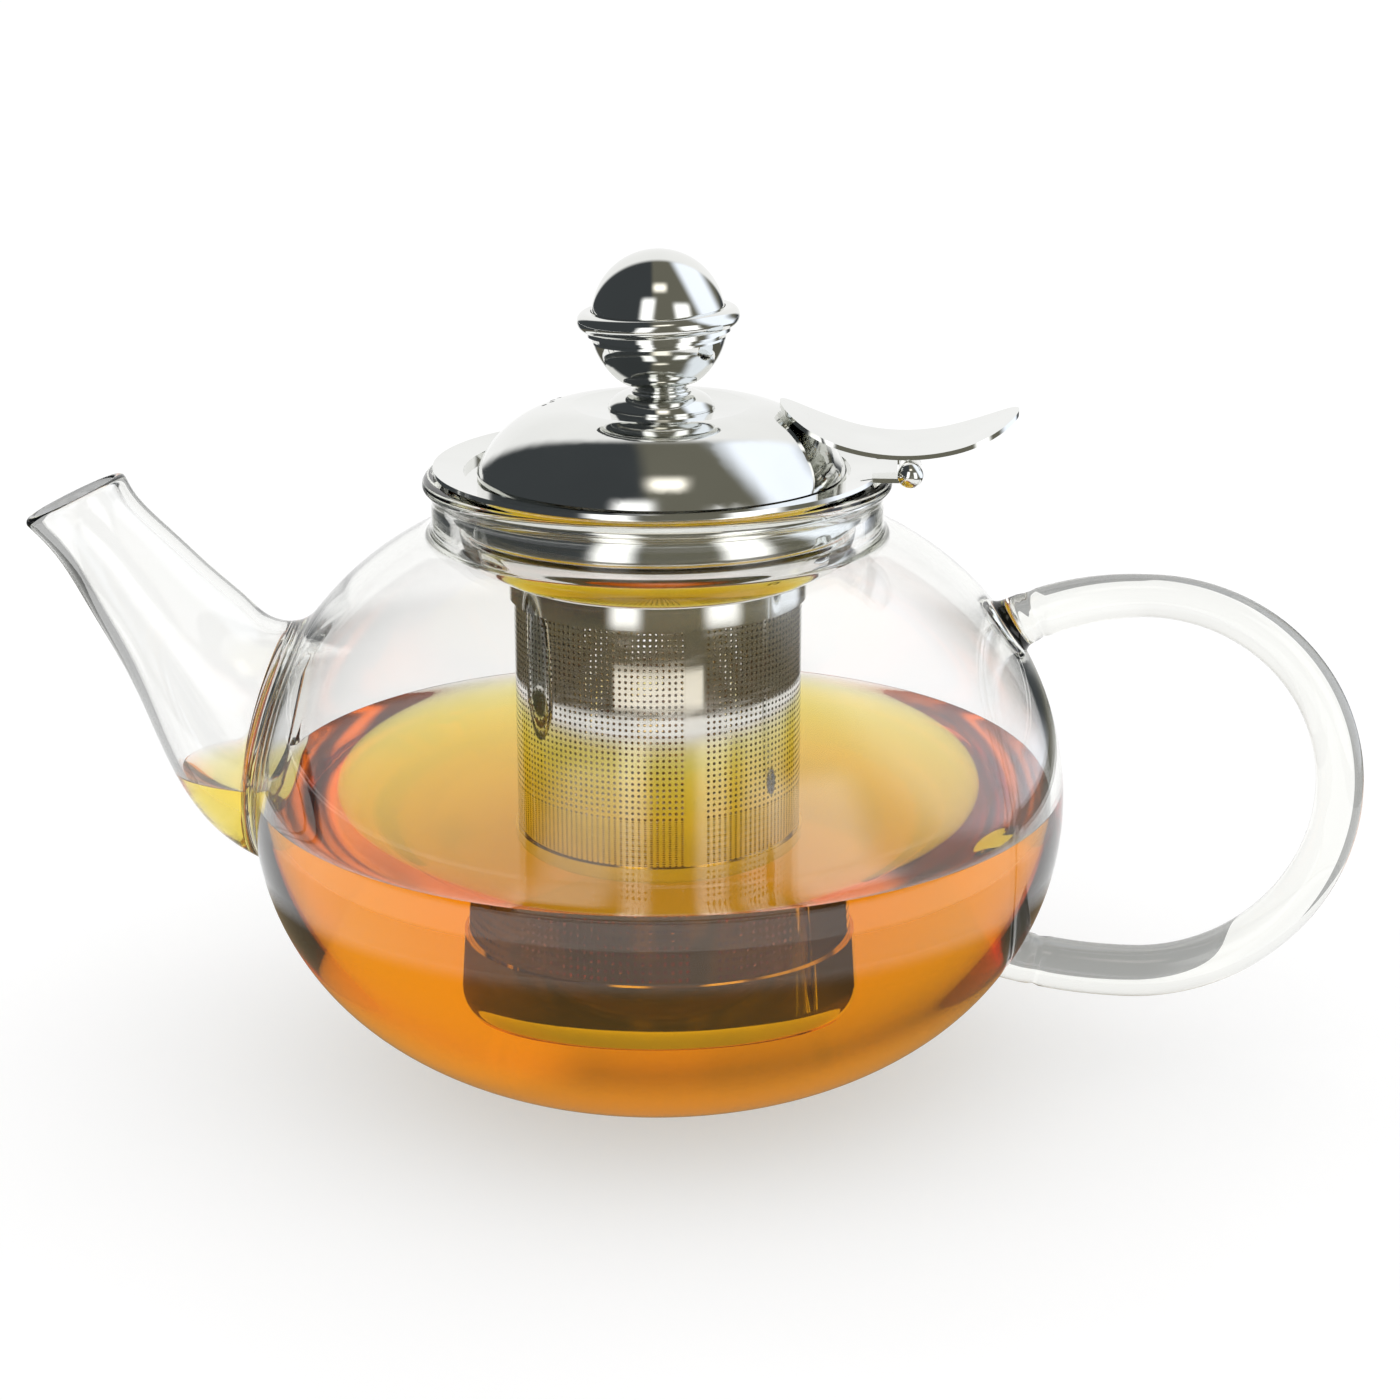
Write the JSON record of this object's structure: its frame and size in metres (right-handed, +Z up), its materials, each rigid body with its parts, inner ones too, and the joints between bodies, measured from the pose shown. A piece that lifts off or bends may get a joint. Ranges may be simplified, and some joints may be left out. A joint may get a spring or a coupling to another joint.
{
  "type": "glass teapot with infuser",
  "caption": "Round clear glass teapot with a fused spout and ring handle, and a lift-out steel basket infuser whose domed lid has a ball knob, a thumb lever and a pin hinge.",
  "frame": {"origin": "centre of the flat base, on the axis of the pot, where it stands on the table", "axes": "+Z up along the pot's axis, +X from the pot's axis towards the handle, -X towards the spout, -Y is the side seen in the picture"},
  "size_m": [0.246, 0.15, 0.152],
  "materials": {
    "clear_glass": "clear fire-polished borosilicate",
    "polished_steel": "mirror-polished stainless steel",
    "basket_steel": "bright perforated stainless sheet",
    "screw_steel": "plain stainless hardware"
  },
  "bodies": {
    "pot": {"glass_body": "clear_glass", "glass_spout": "clear_glass", "glass_handle": "clear_glass"},
    "infuser": {"infuser_collar": "polished_steel", "basket_sleeve": "basket_steel", "basket_cup": "basket_steel", "hinge_pin": "polished_steel", "pin_end_ball": "polished_steel"},
    "lid": {"lid_dome": "polished_steel", "lid_lever": "polished_steel", "lever_knuckle": "polished_steel", "knob_foot": "polished_steel", "knob_bowl": "polished_steel", "knob_ring": "polished_steel", "knob_crown": "polished_steel", "knob_boss": "screw_steel", "knob_screw": "screw_steel", "knob_washer": "screw_steel"}
  },
  "joints": [
    {"name": "infuser_lift", "type": "slide", "parent": "pot", "child": "infuser", "axis": [0, 0, 1], "range_m": [0, 0.1]},
    {"name": "lid_open", "type": "hinge", "parent": "infuser", "child": "lid", "pos_m": [0.0455, 0, 0.1147], "axis": [0, 1, 0], "range_deg": [0, 85]}
  ]
}
